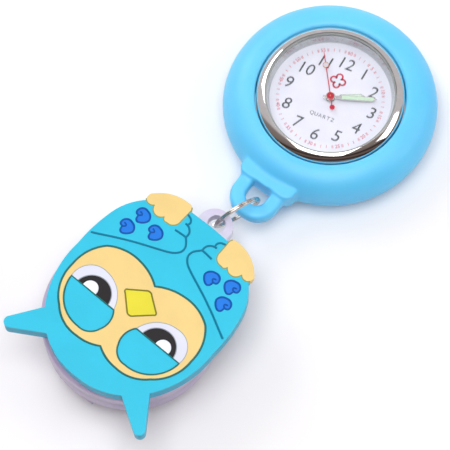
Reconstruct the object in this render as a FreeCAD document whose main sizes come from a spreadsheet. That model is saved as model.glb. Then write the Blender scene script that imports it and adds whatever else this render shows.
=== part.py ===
import FreeCAD, Part
import math
import os
import Sketcher

V = FreeCAD.Vector
doc = FreeCAD.newDocument("fob_watch")

# ---------------------------------------------------------------------------
# Driving dimensions, millimetres and degrees. +Z is up off the table, +Y is
# up as worn: the badge reel lies at +Y and the watch at -Y, dial upside down.
# ---------------------------------------------------------------------------
DIMENSIONS = [
    ("reel_x", -0.6), ("reel_y", 32.36), ("reel_radius", 17.35), ("reel_low", 4.7),
    ("reel_split", 8.4), ("reel_high", 12.1), ("reel_wall", 1.1), ("post_radius", 2.0),
    ("spool_radius", 14.7), ("barrel_radius", 11.3), ("winding_radius", 13.4),
    ("cord_diameter", 0.9), ("badge_x", -1.457), ("badge_y", 33.52), ("badge_low", 12.4),
    ("badge_high", 15.5), ("inlay_depth", 0.8),
    ("clip_width", 8.5), ("pin_radius", 0.6), ("pin_y", 8.0), ("pin_z", 2.9),
    ("lug_x", 0.143), ("lug_low", 7.2), ("lug_high", 9.6), ("lug_width", 7.3), ("lug_hole", 1.8),
    ("watch_y", -28.97), ("case_tilt", 4.4), ("dial_turn", -162.5),
    ("soft_radius", 21.75), ("soft_high", 10.7), ("soft_equator", 5.4),
    ("capsule_radius", 16.0), ("capsule_low", 2.0), ("shoulder", 8.4),
    ("bezel_radius", 15.0), ("bezel_inner", 13.2), ("bezel_high", 11.5), ("dial_radius", 12.9),
    ("dial_low", 8.1), ("dial_high", 8.5), ("plate_radius", 10.0), ("stem_z", 5.2),
    ("hour_angle", 65.96), ("minute_angle", 71.5), ("second_angle", 330.0),
]
sheet = doc.addObject("Spreadsheet::Sheet", "sizes")
for row, (alias, number) in enumerate(DIMENSIONS, start=1):
    sheet.set(f"A{row}", alias)
    sheet.set(f"B{row}", str(number))
    sheet.setAlias(f"B{row}", alias)
doc.recompute()


class Size:
    """A length that carries both its number and the sheet expression it comes from."""

    def __init__(self, number, words):
        self.number = number
        self.words = words

    def joined(self, other, sign, number):
        words = other.words if isinstance(other, Size) else repr(float(other))
        return Size(number, f"({self.words} {sign} {words})")

    def __add__(self, other):
        return self.joined(other, "+", self.number + plain(other))

    def __sub__(self, other):
        return self.joined(other, "-", self.number - plain(other))

    def __mul__(self, other):
        return self.joined(other, "*", self.number * plain(other))

    def __truediv__(self, other):
        return self.joined(other, "/", self.number / plain(other))

    def __neg__(self):
        return Size(-self.number, f"(0 - {self.words})")


def plain(size):
    return size.number if isinstance(size, Size) else float(size)


def dim(alias):
    return Size(float(sheet.get(alias)), f"sizes.{alias}")


def bind(obj, prop, size):
    """Bind a property to the sheet, or set a fixed detail size."""
    if isinstance(size, Size):
        obj.setExpression(prop, size.words)
    else:
        obj.setExpression(prop, repr(float(size)))


# ---------------------------------------------------------------------------
# Ways of making a sub-part
# ---------------------------------------------------------------------------
parts = []


def keep(obj, label, place=None):
    obj.Label = label
    if place is not None:
        obj.Placement = place.multiply(obj.Placement)
    parts.append(obj)
    return obj


def draw(sketch, corners, centre_axis=False):
    """Draw a closed outline. A corner is (x, y), or (x, y, via x, via y) when an arc leads to it."""
    first = sketch.GeometryCount
    points = [V(plain(c[0]), plain(c[1]), 0) for c in corners]
    count = len(points)
    starts = []
    for i in range(count):
        here = points[i]
        there = points[(i + 1) % count]
        corner = corners[(i + 1) % count]
        if len(corner) == 4:
            edge = sketch.addGeometry(Part.Arc(here, V(plain(corner[2]), plain(corner[3]), 0), there))
            start = 1 if sketch.getPoint(edge, 1).distanceToPoint(here) < 1e-6 else 2
        else:
            edge = sketch.addGeometry(Part.LineSegment(here, there))
            start = 1
        starts.append(start)
    for i in range(count):
        after = (i + 1) % count
        sketch.addConstraint(Sketcher.Constraint(
            "Coincident", first + i, 3 - starts[i], first + after, starts[after]))
    for i, corner in enumerate(corners):
        for axis, kind in ((0, "DistanceX"), (1, "DistanceY")):
            size = corner[axis]
            if abs(plain(size)) < 1e-7:
                other = -2 if axis == 0 else -1
                sketch.addConstraint(Sketcher.Constraint("PointOnObject", first + i, starts[i], other))
                continue
            number = sketch.addConstraint(Sketcher.Constraint(
                kind, -1, 1, first + i, starts[i], plain(size)))
            if isinstance(size, Size):
                sketch.setExpression(f"Constraints[{number}]", size.words)
        if len(corners[(i + 1) % count]) == 4:
            arc = sketch.Geometry[first + i]
            chord = points[i].distanceToPoint(points[(i + 1) % count])
            if chord < 1.9 * arc.Radius:
                sketch.addConstraint(Sketcher.Constraint("Radius", first + i, arc.Radius))


def body_sketch(label, role):
    body = doc.addObject("PartDesign::Body", label + "_body")
    sketch = body.newObject("Sketcher::SketchObject", label + "_sketch")
    plane = [feature for feature in body.Origin.OriginFeatures if feature.Role == role][0]
    sketch.AttachmentSupport = [(plane, "")]
    sketch.MapMode = "FlatFace"
    return body, sketch


def turned(label, profile):
    """A body of revolution about Z from a closed (radius, height) profile."""
    body, sketch = body_sketch(label, "XZ_Plane")
    draw(sketch, profile)
    spun = body.newObject("PartDesign::Revolution", label + "_spin")
    spun.Profile = (sketch, [""])
    spun.ReferenceAxis = (sketch, ["V_Axis"])
    spun.Angle = 360
    return body


def prism(label, loops, low, thick):
    """A flat piece from one or more closed loops, standing on the height low."""
    body, sketch = body_sketch(label, "XY_Plane")
    for loop in loops:
        draw(sketch, loop)
    bind(sketch, "AttachmentOffset.Base.z", low)
    pad = body.newObject("PartDesign::Pad", label + "_pad")
    pad.Profile = (sketch, [""])
    bind(pad, "Length", thick)
    return body


def side_prism(label, loop, left, wide):
    """A piece with one outline in the (Y, Z) plane, padded along X from left."""
    body, sketch = body_sketch(label, "YZ_Plane")
    draw(sketch, loop)
    bind(sketch, "AttachmentOffset.Base.z", left)
    pad = body.newObject("PartDesign::Pad", label + "_pad")
    pad.Profile = (sketch, [""])
    bind(pad, "Length", wide)
    return body


def cylinder(label, radius, height, x=0, y=0, z=0, along=None):
    obj = doc.addObject("Part::Cylinder", label)
    bind(obj, "Radius", radius)
    bind(obj, "Height", height)
    if along is not None:
        obj.Placement = FreeCAD.Placement(V(0, 0, 0), FreeCAD.Rotation(V(0, 0, 1), along))
    for axis, size in (("x", x), ("y", y), ("z", z)):
        bind(obj, f"Placement.Base.{axis}", size)
    return obj


def box(label, long, wide, high, x, y, z):
    obj = doc.addObject("Part::Box", label)
    for prop, size in (("Length", long), ("Width", wide), ("Height", high)):
        bind(obj, prop, size)
    for axis, size in (("x", x), ("y", y), ("z", z)):
        bind(obj, f"Placement.Base.{axis}", size)
    return obj


def cut(label, base, tools):
    obj = doc.addObject("Part::Cut", label)
    obj.Base = base
    if len(tools) == 1:
        obj.Tool = tools[0]
    else:
        joined = doc.addObject("Part::MultiFuse", label + "_tools")
        joined.Shapes = tools
        obj.Tool = joined
    return obj


def fused(label, pieces):
    obj = doc.addObject("Part::MultiFuse", label)
    obj.Shapes = pieces
    return obj


def group(label, pieces):
    obj = doc.addObject("Part::Compound", label)
    obj.Links = pieces
    return obj


def shaped(label, shape):
    obj = doc.addObject("Part::Feature", label)
    obj.Shape = shape
    return obj


def at(x, y, z=0.0, angle=0.0):
    return FreeCAD.Placement(V(x, y, z), FreeCAD.Rotation(V(0, 0, 1), angle))


def mirrored(corners, side, x=0.0, y=0.0):
    """A loop moved to (x, y) and mirrored to the side +1 or -1."""
    moved = []
    for corner in corners:
        new = (side * (x + corner[0]), y + corner[1])
        if len(corner) == 4:
            new += (side * (x + corner[2]), y + corner[3])
        moved.append(new)
    return moved


def both_sides(right_half):
    """Close an outline that runs from (0, bottom) up its right side to (0, top)."""
    left = []
    for i in range(len(right_half) - 1, 0, -1):
        here = right_half[i]
        before = right_half[i - 1]
        point = (-before[0], before[1])
        if len(here) == 4:
            point += (-here[2], here[3])
        left.append(point)
    closing = left.pop()
    start = right_half[0]
    if len(closing) == 4:
        start = (start[0], start[1], closing[2], closing[3])
    return [start] + right_half[1:] + left


REEL = at(plain(dim("reel_x")), plain(dim("reel_y")))
BADGE = at(plain(dim("badge_x")), plain(dim("badge_y")))
CASE = at(0, plain(dim("watch_y")), 0, plain(dim("case_tilt")))
DIAL = at(0, plain(dim("watch_y")), 0, plain(dim("dial_turn")))

# ---------------------------------------------------------------------------
# Badge reel: two moulded shells, spool, cord, spring and belt clip
# ---------------------------------------------------------------------------
reel_low = dim("reel_low")
reel_high = dim("reel_high")
reel_split = dim("reel_split")
reel_radius = dim("reel_radius")
wall = dim("reel_wall")
floor_high = reel_low + wall
roof_low = reel_high - wall
EDGE = 1.1
EDGE_BULGE = EDGE * (1 - math.sqrt(0.5))

mouth = cylinder("mouth", 0.9, 4.0, dim("lug_x"), -14.4, reel_split, V(0, -1, 0))
screw_way = cylinder("screw_way", 0.8, 7.0, 0, 0, reel_low - 0.5)
screw_seat = cylinder("screw_seat", 1.8, 1.0, 0, 0, reel_low - 0.5)

back_cup = turned("back_cup", [
    (0, reel_low), (reel_radius - EDGE, reel_low),
    (reel_radius, reel_low + EDGE, reel_radius - EDGE_BULGE, reel_low + EDGE_BULGE),
    (reel_radius, reel_split - 0.03), (reel_radius - wall, reel_split - 0.03),
    (reel_radius - wall, floor_high), (dim("post_radius"), floor_high),
    (dim("post_radius"), roof_low - 0.3), (0, roof_low - 0.3)])
EAR_THICK = 1.2
EAR_INSIDE = 2.9
ear_round = 1.3
pin_y = dim("pin_y")
pin_z = dim("pin_z")
ears = []
for side_name, left in (("left", -EAR_INSIDE - EAR_THICK), ("right", EAR_INSIDE)):
    ears.append(side_prism("ear_" + side_name, [
        (pin_y - ear_round, reel_low + 0.2), (pin_y - ear_round, pin_z),
        (pin_y + ear_round, pin_z, pin_y, pin_z - ear_round),
        (pin_y + ear_round, reel_low + 0.2)], left, EAR_THICK))
pin_way = cylinder("pin_way", dim("pin_radius"), 12, -6, pin_y, pin_z, V(1, 0, 0))
keep(cut("back_shell", fused("back_with_ears", [back_cup] + ears),
         [mouth, screw_way, screw_seat, pin_way]), "back_shell", REEL)

front_cup = turned("front_cup", [
    (0, roof_low), (reel_radius - wall, roof_low), (reel_radius - wall, reel_split),
    (reel_radius, reel_split), (reel_radius, reel_high - EDGE),
    (reel_radius - EDGE, reel_high, reel_radius - EDGE_BULGE, reel_high - EDGE_BULGE), (0, reel_high)])
keep(cut("front_shell", front_cup, [mouth]), "front_shell", REEL)

screw = turned("screw_blank", [
    (0, reel_low), (1.6, reel_low), (1.6, reel_low + 0.45), (0.75, reel_low + 0.45),
    (0.75, reel_low + 5.0), (0, reel_low + 5.6)])
slots = [box("slot_long", 2.0, 0.35, 0.5, -1.0, -0.175, reel_low - 0.2),
         box("slot_wide", 0.35, 2.0, 0.5, -0.175, -1.0, reel_low - 0.2)]
keep(cut("shell_screw", screw, slots), "shell_screw", REEL)

keep(cylinder("pad_disc", 11.0, dim("badge_low") - reel_high, dim("reel_x"), dim("reel_y"), reel_high),
     "adhesive_pad")

SPOOL_LOW = 6.2
FLANGE = 0.7
SPOOL_HIGH = 10.8
spool_radius = dim("spool_radius")
barrel = dim("barrel_radius")
keep(turned("spool", [
    (dim("post_radius") + 0.06, SPOOL_LOW), (spool_radius, SPOOL_LOW),
    (spool_radius, SPOOL_LOW + FLANGE), (barrel, SPOOL_LOW + FLANGE),
    (barrel, SPOOL_HIGH - FLANGE), (spool_radius, SPOOL_HIGH - FLANGE), (spool_radius, SPOOL_HIGH),
    (barrel - 0.8, SPOOL_HIGH), (barrel - 0.8, SPOOL_LOW + FLANGE),
    (dim("post_radius") + 0.06, SPOOL_LOW + FLANGE)]), "spool", REEL)
keep(turned("wound_cord", [
    (barrel + 0.02, SPOOL_LOW + FLANGE + 0.05), (dim("winding_radius"), SPOOL_LOW + FLANGE + 0.05),
    (dim("winding_radius"), SPOOL_HIGH - FLANGE - 0.05), (barrel + 0.02, SPOOL_HIGH - FLANGE - 0.05)]),
     "wound_cord", REEL)


def spiral_spring(inner, pitch, turns, thick, low, high):
    """A flat strip wound in half circles whose centres alternate along X."""
    edges = []
    for offset in (0.0, thick):
        side = []
        for k in range(int(turns * 2)):
            radius = inner + offset + k * pitch / 4
            sign = 1 if k % 2 == 0 else -1
            centre = V(0.0 if k % 2 == 0 else pitch / 4, 0, 0)
            side.append(Part.Arc(centre + V(sign * radius, 0, 0), centre + V(0, sign * radius, 0),
                                 centre - V(sign * radius, 0, 0)).toShape())
        edges.append(side)
    inner_edge, outer_edge = edges
    ends = []
    for index, vertex in ((0, 0), (-1, -1)):
        a = inner_edge[index].Vertexes[vertex].Point
        b = outer_edge[index].Vertexes[vertex].Point
        ends.append(Part.LineSegment(a, b).toShape())
    wire = Part.Wire(Part.__sortEdges__(inner_edge + outer_edge + ends))
    face = Part.Face(wire)
    strip = face.extrude(V(0, 0, high - low))
    strip.translate(V(0, 0, low))
    return strip


spring = spiral_spring(plain(dim("post_radius")) + 0.5, 1.1, 5, 0.18, SPOOL_LOW + FLANGE + 0.3, 10.4)
keep(shaped("power_spring", spring), "power_spring", REEL)

# The cord leaves the winding on a tangent, turns through the mouth and ends in the lug.
lug_x = dim("lug_x")
CORD_BEND = 2.7
LUG_START = -17.5
CORD_END = -21.0
corner = V(plain(lug_x), -15.5, plain(reel_split))
reach = math.hypot(corner.x, corner.y)
take_off = math.atan2(corner.y, corner.x) + math.acos(plain(dim("winding_radius")) / reach)
start = V(math.cos(take_off), math.sin(take_off), 0) * (plain(dim("winding_radius")) + 0.5)
start.z = corner.z
into = (corner - start).normalize()
out = V(0, -1, 0)
turn = math.acos(into.dot(out))
back_off = CORD_BEND * math.tan(turn / 2)
enter = corner - into * back_off
leave = corner + out * back_off
middle = corner + (out - into).normalize() * (CORD_BEND / math.cos(turn / 2) - CORD_BEND)
route = Part.Wire([
    Part.LineSegment(start, enter).toShape(), Part.Arc(enter, middle, leave).toShape(),
    Part.LineSegment(leave, V(corner.x, LUG_START, corner.z)).toShape()])
cord_radius = plain(dim("cord_diameter")) / 2
section = Part.Wire(Part.makeCircle(cord_radius, start, into))
tail = route.makePipeShell([section], True, True)
print("cord tail: bend radius", CORD_BEND, "volume ratio",
      round(tail.Volume / (math.pi * cord_radius ** 2 * route.Length), 3))
keep(shaped("cord_tail", tail), "cord_tail", REEL)

half_lug = dim("lug_width") / 2
LUG_CENTRE = -25.14
lug_end = -half_lug + LUG_CENTRE
HOLE_Y = -25.74
lug_plate = prism("lug_plate", [[
    (3.0, LUG_START), (half_lug, -19.5), (half_lug, LUG_CENTRE),
    (-half_lug, LUG_CENTRE, 0, lug_end), (-half_lug, -19.5), (-3.0, LUG_START)]],
    dim("lug_low"), dim("lug_high") - dim("lug_low"))
lug_hole = cylinder("lug_hole_tool", dim("lug_hole"), 6, 0, HOLE_Y, 5)
cord_bore = cylinder("cord_bore", 0.5, LUG_START - CORD_END, 0, LUG_START, reel_split, V(0, -1, 0))
LUG = at(plain(dim("reel_x")) + plain(lug_x), plain(dim("reel_y")))
keep(cut("cord_lug", lug_plate, [lug_hole, cord_bore]), "cord_lug", LUG)
keep(cylinder("cord_end", dim("cord_diameter") / 2, LUG_START - CORD_END - 0.1,
              dim("reel_x") + lug_x, dim("reel_y") + LUG_START, reel_split, V(0, -1, 0)), "cord_end")

# Belt clip: a moulded lever on a steel pin, closed by a torsion spring.
clip_width = dim("clip_width")
lever = side_prism("clip_lever", [
    (16.6, 2.9), (16.6, 3.55), (13.4, 3.55), (10.4, 1.3), (-12.2, 1.3), (-13.4, 4.45), (-14.4, 4.45),
    (-15.6, 3.2), (-15.6, 0.9), (-14.7, 0.0, -15.34, 0.26), (10.6, 0.0)], clip_width / -2, clip_width)
cheeks = []
CHEEK = 1.0
for side_name, left in (("left", -2.65), ("right", 2.65 - CHEEK)):
    cheeks.append(side_prism("cheek_" + side_name, [
        (pin_y - 1.6, 1.0), (pin_y + 1.6, 1.0), (pin_y + 1.1, pin_z),
        (pin_y - 1.1, pin_z, pin_y, pin_z + 1.1)], left, CHEEK))
clip_way = cylinder("clip_way", dim("pin_radius") + 0.05, 12, -6, pin_y, pin_z, V(1, 0, 0))
keep(cut("belt_clip", fused("clip_with_cheeks", [lever] + cheeks), [clip_way]), "belt_clip", REEL)
keep(cylinder("clip_pin_rod", dim("pin_radius"), 8.4, dim("reel_x") - 4.2, dim("reel_y") + pin_y, pin_z,
              V(1, 0, 0)), "clip_pin")
WIRE = 0.2
COIL = 0.95
coils = Part.makeHelix(0.55, 2.2, COIL)
coils.rotate(V(0, 0, 0), V(0, 1, 0), 90)
coils.translate(V(-1.1, plain(pin_y), plain(pin_z)))
first = coils.Edges[0].firstVertex().Point
section = Part.Wire(Part.makeCircle(WIRE, first, coils.Edges[0].tangentAt(coils.Edges[0].FirstParameter)))
keep(shaped("clip_spring", Part.Wire(coils.Edges).makePipeShell([section], True, True)),
     "clip_spring", REEL)

# ---------------------------------------------------------------------------
# Owl badge: soft PVC poured colour by colour, so the fills lie edge to edge
# ---------------------------------------------------------------------------
badge_low = dim("badge_low")
badge_high = dim("badge_high")
fill = dim("inlay_depth")
EAR_TIP = V(16.6, 15.6, 0)
TIP_ROUND = 1.15


def ear_point(angle):
    return (EAR_TIP.x + TIP_ROUND * math.cos(math.radians(angle)),
            EAR_TIP.y + TIP_ROUND * math.sin(math.radians(angle)))


owl_half = [
    (0, -24.1), (4.9, -23.95), (6.6, -24.75, 5.6, -24.65), (12.6, -21.9, 10.0, -23.85),
    (13.1, -20.2), (16.7, -13.6, 15.3, -17.4), (17.35, -5.0, 17.3, -9.4),
    (13.4, 9.0, 16.6, 2.4), ear_point(-34), ear_point(118) + ear_point(42), (9.6, 12.75),
    (0, 15.5, 4.9, 14.95)]
face_half = [
    (0, -7.8), (5.6, -9.85, 2.4, -9.1), (12.6, -8.1, 9.4, -9.6), (15.25, -1.0, 14.7, -4.8),
    (11.6, 6.9, 14.2, 3.9), (5.0, 9.4, 8.6, 8.9), (0, 8.0, 2.2, 9.0)]
lid = [(2.9, 0.9, 1.9, 3.2), (13.8, 0.9), (6.0, 7.8, 11.2, 6.0), (2.4, 5.6, 3.6, 7.2)]
white = [(2.9, 0.9, 5.0, -2.5), (13.8, 0.9), (9.0, -4.1, 12.9, -2.6)]
pupil = [(4.4, 0.9, 5.53, -1.45), (12.2, 0.9), (8.3, -2.6, 11.07, -1.45)]
shine = [(7.7, 0.9, 8.14, -0.62), (10.9, 0.9), (9.3, -1.1, 10.46, -0.62)]
beak = [(0.6, -0.4, 0, -0.2), (3.6, -3.2), (3.6, -4.0, 3.9, -3.6), (0.8, -6.0), (-0.8, -6.0, 0, -6.35),
        (-3.6, -4.0), (-3.6, -3.2, -3.9, -3.6), (-0.6, -0.4)]
foot = [(4.9, -23.8, 5.15, -24.65), (5.0, -21.3), (7.0, -19.2, 5.6, -19.6), (8.1, -19.8, 7.7, -19.2),
        (11.2, -20.4, 9.8, -19.0), (13.2, -20.3, 12.2, -19.9), (12.9, -22.2, 13.45, -21.2),
        (6.3, -25.05, 10.0, -24.3)]
petal = [(-0.05, 1.45, -0.95, 0.95), (0.65, 0.85, 0.4, 1.3), (0.8, 0.25), (1.5, -0.1, 1.2, 0.2),
         (-0.15, -1.5, 1.15, -1.25), (-1.6, -0.05, -1.15, -1.05)]
PETAL_SPOTS = [(12.35, -13.4), (7.25, -15.95), (11.45, -17.1)]
fill_low = badge_high - fill


def pair(label, loop, depth):
    return [prism(f"{label}_{name}", [mirrored(loop, side)], badge_high - depth, depth)
            for name, side in (("right", 1), ("left", -1))]


lids = pair("lid", lid, fill)
whites = pair("white", white, fill)
pupils = pair("pupil", pupil, fill)
shines = pair("shine", shine, fill)
feet = pair("foot", foot, fill + 0.6)
petals = []
for spot, (x, y) in enumerate(PETAL_SPOTS):
    for name, side in (("right", 1), ("left", -1)):
        petals.append(prism(f"petal_{spot}_{name}", [mirrored(petal, side, x, y)], fill_low, fill))
beak_fill = prism("beak_fill", [beak], fill_low, fill)
face_fill = prism("face_fill", [both_sides(face_half)], fill_low, fill)
owl_plate = prism("owl_plate", [both_sides(owl_half)], badge_low, badge_high - badge_low)
keep(cut("owl_body", owl_plate, [face_fill] + feet + petals), "owl_body", BADGE)
keep(cut("owl_face", face_fill, lids + whites + [beak_fill]), "owl_face", BADGE)
keep(group("owl_eyelids", lids), "owl_eyelids", BADGE)
keep(cut("owl_eye_whites", group("all_whites", whites), pupils), "owl_eye_whites", BADGE)
keep(cut("owl_pupils", group("all_pupils", pupils), shines), "owl_pupils", BADGE)
keep(group("owl_highlights", shines), "owl_highlights", BADGE)
keep(group("owl_beak", [beak_fill]), "owl_beak", BADGE)
keep(group("owl_feet", feet), "owl_feet", BADGE)
keep(group("owl_petals", petals), "owl_petals", BADGE)

# ---------------------------------------------------------------------------
# Split ring: a spring wire of two turns, standing in the lug and the case loop
# ---------------------------------------------------------------------------
RING_MIDDLE = V(-1.407, 1.62, 7.2)
RING_HEADING = math.radians(18)
RING_LEAN = math.radians(8)
RING_OUTER = 5.4
RING_INNER = 4.5
TURN = 0.65
level = V(math.cos(RING_HEADING), -math.sin(RING_HEADING), 0)
ring_axis = level * math.cos(RING_LEAN) + V(0, 0, 1) * math.sin(RING_LEAN)
NECK = 0.12
ring = turned("ring_turns", [
    (RING_INNER + 0.15, -TURN), (RING_OUTER - 0.15, -TURN), (RING_OUTER, -TURN + 0.15),
    (RING_OUTER, -NECK), (RING_OUTER - NECK, 0), (RING_OUTER, NECK), (RING_OUTER, TURN - 0.15),
    (RING_OUTER - 0.15, TURN), (RING_INNER + 0.15, TURN), (RING_INNER, TURN - 0.15),
    (RING_INNER, NECK), (RING_INNER + NECK, 0), (RING_INNER, -NECK), (RING_INNER, -TURN + 0.15)])
keep(ring, "split_ring", FreeCAD.Placement(RING_MIDDLE, FreeCAD.Rotation(V(0, 0, 1), ring_axis)))

# ---------------------------------------------------------------------------
# Watch: silicone case with its hanging loop
# ---------------------------------------------------------------------------
soft_radius = dim("soft_radius")
soft_high = dim("soft_high")
equator = dim("soft_equator")
capsule = dim("capsule_radius")
capsule_low = dim("capsule_low")
shoulder = dim("shoulder")
bezel_radius = dim("bezel_radius")
soft_ring = turned("soft_ring", [
    (12.0, 0.0), (16.4, 0.0), (soft_radius, equator, soft_radius - 1.5, 1.75),
    (bezel_radius + 0.8, soft_high, soft_radius - 1.75, 9.15), (bezel_radius + 0.15, soft_high - 0.3),
    (bezel_radius + 0.15, shoulder + 0.1), (capsule + 0.1, shoulder + 0.1),
    (capsule + 0.1, capsule_low - 0.1), (12.0, capsule_low - 0.1)])
LOOP_LOW = 4.8
LOOP_HIGH = 7.8
loop_plate = prism("loop_plate", [
    [(5.2, 19.5), (5.2, 25.2), (0, 30.3, 3.9, 28.9), (-5.2, 25.2, -3.9, 28.9), (-5.2, 19.5)],
    [(2.15, 23.1), (2.15, 25.4), (0, 27.3, 1.6, 26.8), (-2.15, 25.4, -1.6, 26.8), (-2.15, 23.1)]],
    LOOP_LOW, LOOP_HIGH - LOOP_LOW)
doc.recompute()
loop_pad = loop_plate.Tip
loop_round = loop_plate.newObject("PartDesign::Fillet", "loop_round")
loop_round.Base = (loop_pad, [
    f"Edge{number}" for number, edge in enumerate(loop_pad.Shape.Edges, start=1)
    if edge.BoundBox.ZLength < 1e-6 and edge.BoundBox.YMin > 20])
loop_round.Radius = 0.6
RIDGE_LOW = 3.8
RIDGE_HIGH = 8.4
ridge = prism("loop_ridge", [[(6.3, 20.4), (6.3, 22.0), (5.4, 23.1), (-5.4, 23.1), (-6.3, 22.0),
                              (-6.3, 20.4)]], RIDGE_LOW, RIDGE_HIGH - RIDGE_LOW)
pocket_turn = math.radians(plain(dim("dial_turn")) - plain(dim("case_tilt")))
pocket_way = V(math.cos(pocket_turn), math.sin(pocket_turn), 0)
crown_pocket = cylinder("crown_pocket", 2.3, 3.5, 15.9 * pocket_way.x, 15.9 * pocket_way.y,
                        dim("stem_z"), pocket_way)
keep(cut("silicone_case", fused("soft_with_loop", [soft_ring, loop_plate, ridge]), [crown_pocket]),
     "silicone_case", CASE)

# ---------------------------------------------------------------------------
# Watch capsule, in the dial's frame: +Y points to 12, +X to 3 and the crown
# ---------------------------------------------------------------------------
dial_low = dim("dial_low")
dial_high = dim("dial_high")
bezel_high = dim("bezel_high")
bezel_inner = dim("bezel_inner")
stem_z = dim("stem_z")
stem_way = cylinder("stem_way", 0.6, 12, 8, 0, stem_z, V(1, 0, 0))
case_ring = turned("case_ring", [
    (14.6, capsule_low), (15.4, capsule_low), (capsule, capsule_low + 0.6), (capsule, shoulder - 0.4),
    (capsule - 0.4, shoulder), (13.4, shoulder), (13.4, 3.4), (14.6, 3.4)])
keep(cut("watch_case", case_ring, [stem_way]), "watch_case", DIAL)
GLASS_RADIUS = 12.85
keep(turned("bezel", [
    (bezel_inner + 0.1, shoulder + 0.05), (bezel_radius, shoulder + 0.05),
    (bezel_radius, bezel_high - 0.8), (bezel_inner + 1.0, bezel_high, bezel_radius - 0.3, bezel_high - 0.2),
    (bezel_inner + 0.2, bezel_high - 0.1), (bezel_inner, bezel_high - 0.35),
    (bezel_inner, 10.35), (bezel_inner + 0.1, 10.3)]), "bezel", DIAL)
keep(turned("glass", [(0, 10.4), (GLASS_RADIUS, 10.4), (GLASS_RADIUS, 11.15),
                      (GLASS_RADIUS - 0.15, 11.3), (0, 11.3)]), "glass", DIAL)
keep(turned("glass_gasket", [(GLASS_RADIUS + 0.02, 10.35), (bezel_inner - 0.02, 10.35),
                             (bezel_inner - 0.02, 11.2), (GLASS_RADIUS + 0.02, 11.2)]),
     "glass_gasket", DIAL)
keep(turned("rehaut", [(12.3, dial_high + 0.02), (13.15, dial_high + 0.02), (13.15, 10.3),
                       (12.9, 10.3)]), "rehaut", DIAL)
keep(turned("dial", [(0.9, dial_low), (dim("dial_radius"), dial_low), (dim("dial_radius"), dial_high),
                     (0.9, dial_high)]), "dial", DIAL)
keep(cut("movement_holder", turned("holder_ring", [
    (10.1, 3.4), (13.3, 3.4), (13.3, dial_low), (10.1, dial_low)]), [stem_way]),
     "movement_holder", DIAL)
keep(turned("case_back", [(0, capsule_low), (14.5, capsule_low), (14.5, 2.8), (0, 2.8)]),
     "case_back", DIAL)
keep(turned("case_gasket", [(13.6, 2.85), (14.5, 2.85), (14.5, 3.35), (13.6, 3.35)]),
     "case_gasket", DIAL)

# Gear train. Each spot is the arbor's place in the dial's frame.
THIRD = V(3.6 * math.cos(math.radians(150)), 3.6 * math.sin(math.radians(150)), 0)
FIFTH = V(3.48 * math.cos(math.radians(60)), 3.48 * math.sin(math.radians(60)), 0)
ROTOR = FIFTH + V(2.52 * math.cos(math.radians(20)), 2.52 * math.sin(math.radians(20)), 0)
MINUTE = V(2.5, 0, 0)


def gear(teeth, module, low, high, spot, phase=0.0):
    """A spur gear whose teeth are trapezoids, thinned for backlash."""
    pitch = teeth * module / 2
    step = 2 * math.pi / teeth
    points = []
    for tooth in range(teeth):
        middle_angle = phase + tooth * step
        for radius, share in ((pitch - 1.15 * module, -0.31), (pitch + 0.85 * module, -0.11),
                              (pitch + 0.85 * module, 0.11), (pitch - 1.15 * module, 0.31)):
            angle = middle_angle + share * step
            points.append(spot + V(radius * math.cos(angle), radius * math.sin(angle), low))
    face = Part.Face(Part.makePolygon(points + points[:1]))
    return face.extrude(V(0, 0, high - low))


def disc(radius, low, high, spot):
    return Part.makeCylinder(radius, high - low, spot + V(0, 0, low))


def mesh_phase(driver_teeth, driver_phase, driven_teeth, from_spot, to_spot):
    """Turn the driven gear so that a gap faces the driver's tooth on the line of centres."""
    line = math.atan2(to_spot.y - from_spot.y, to_spot.x - from_spot.x)
    driver_step = 2 * math.pi / driver_teeth
    driven_step = 2 * math.pi / driven_teeth
    offset = (line - driver_phase) / driver_step
    return line + math.pi + (offset + 0.5) * driven_step


def wheel(label, pieces, spot_hole=None):
    solid = pieces[0]
    for piece in pieces[1:]:
        solid = solid.fuse(piece)
    if spot_hole is not None:
        solid = solid.cut(spot_hole)
    return keep(shaped(label, solid.removeSplitter()), label, DIAL)


CENTRE = V(0, 0, 0)
PIVOT = 0.12
fourth_pinion = mesh_phase(60, 0.0, 8, THIRD, CENTRE)
wheel("third_wheel", [
    disc(PIVOT, 3.45, 6.8, THIRD), gear(60, 3.6 / 34, 4.7, 4.95, THIRD), gear(8, 0.1, 5.4, 5.95, THIRD)])
wheel("fourth_wheel", [
    disc(PIVOT, 3.45, 9.85, CENTRE), gear(8, 3.6 / 34, 4.55, 5.1, CENTRE, fourth_pinion),
    gear(40, 0.145, 4.1, 4.35, CENTRE)])
fifth_pinion = mesh_phase(40, 0.0, 8, CENTRE, FIFTH)
wheel("fifth_wheel", [
    disc(PIVOT, 3.45, 6.8, FIFTH), gear(8, 0.145, 4.0, 4.45, FIFTH, fifth_pinion),
    gear(48, 0.09, 5.15, 5.35, FIFTH)])
wheel("rotor", [
    disc(PIVOT, 3.45, 6.8, ROTOR), disc(0.8, 4.05, 4.75, ROTOR),
    gear(8, 0.09, 5.05, 5.45, ROTOR, mesh_phase(48, 0.0, 8, FIFTH, ROTOR))])
wheel("centre_wheel", [
    disc(0.42, 5.6, 9.35, CENTRE), gear(64, 0.1, 5.6, 5.85, CENTRE, mesh_phase(8, 0.0, 64, THIRD, CENTRE)),
    gear(12, 2.5 / 24, 7.1, 7.4, CENTRE)], disc(0.18, 5, 10, CENTRE))
wheel("minute_wheel", [
    disc(PIVOT, 6.3, 7.9, MINUTE),
    gear(36, 2.5 / 24, 7.15, 7.35, MINUTE, mesh_phase(12, 0.0, 36, CENTRE, MINUTE)),
    gear(10, 0.1, 7.35, 7.8, MINUTE)])
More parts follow.
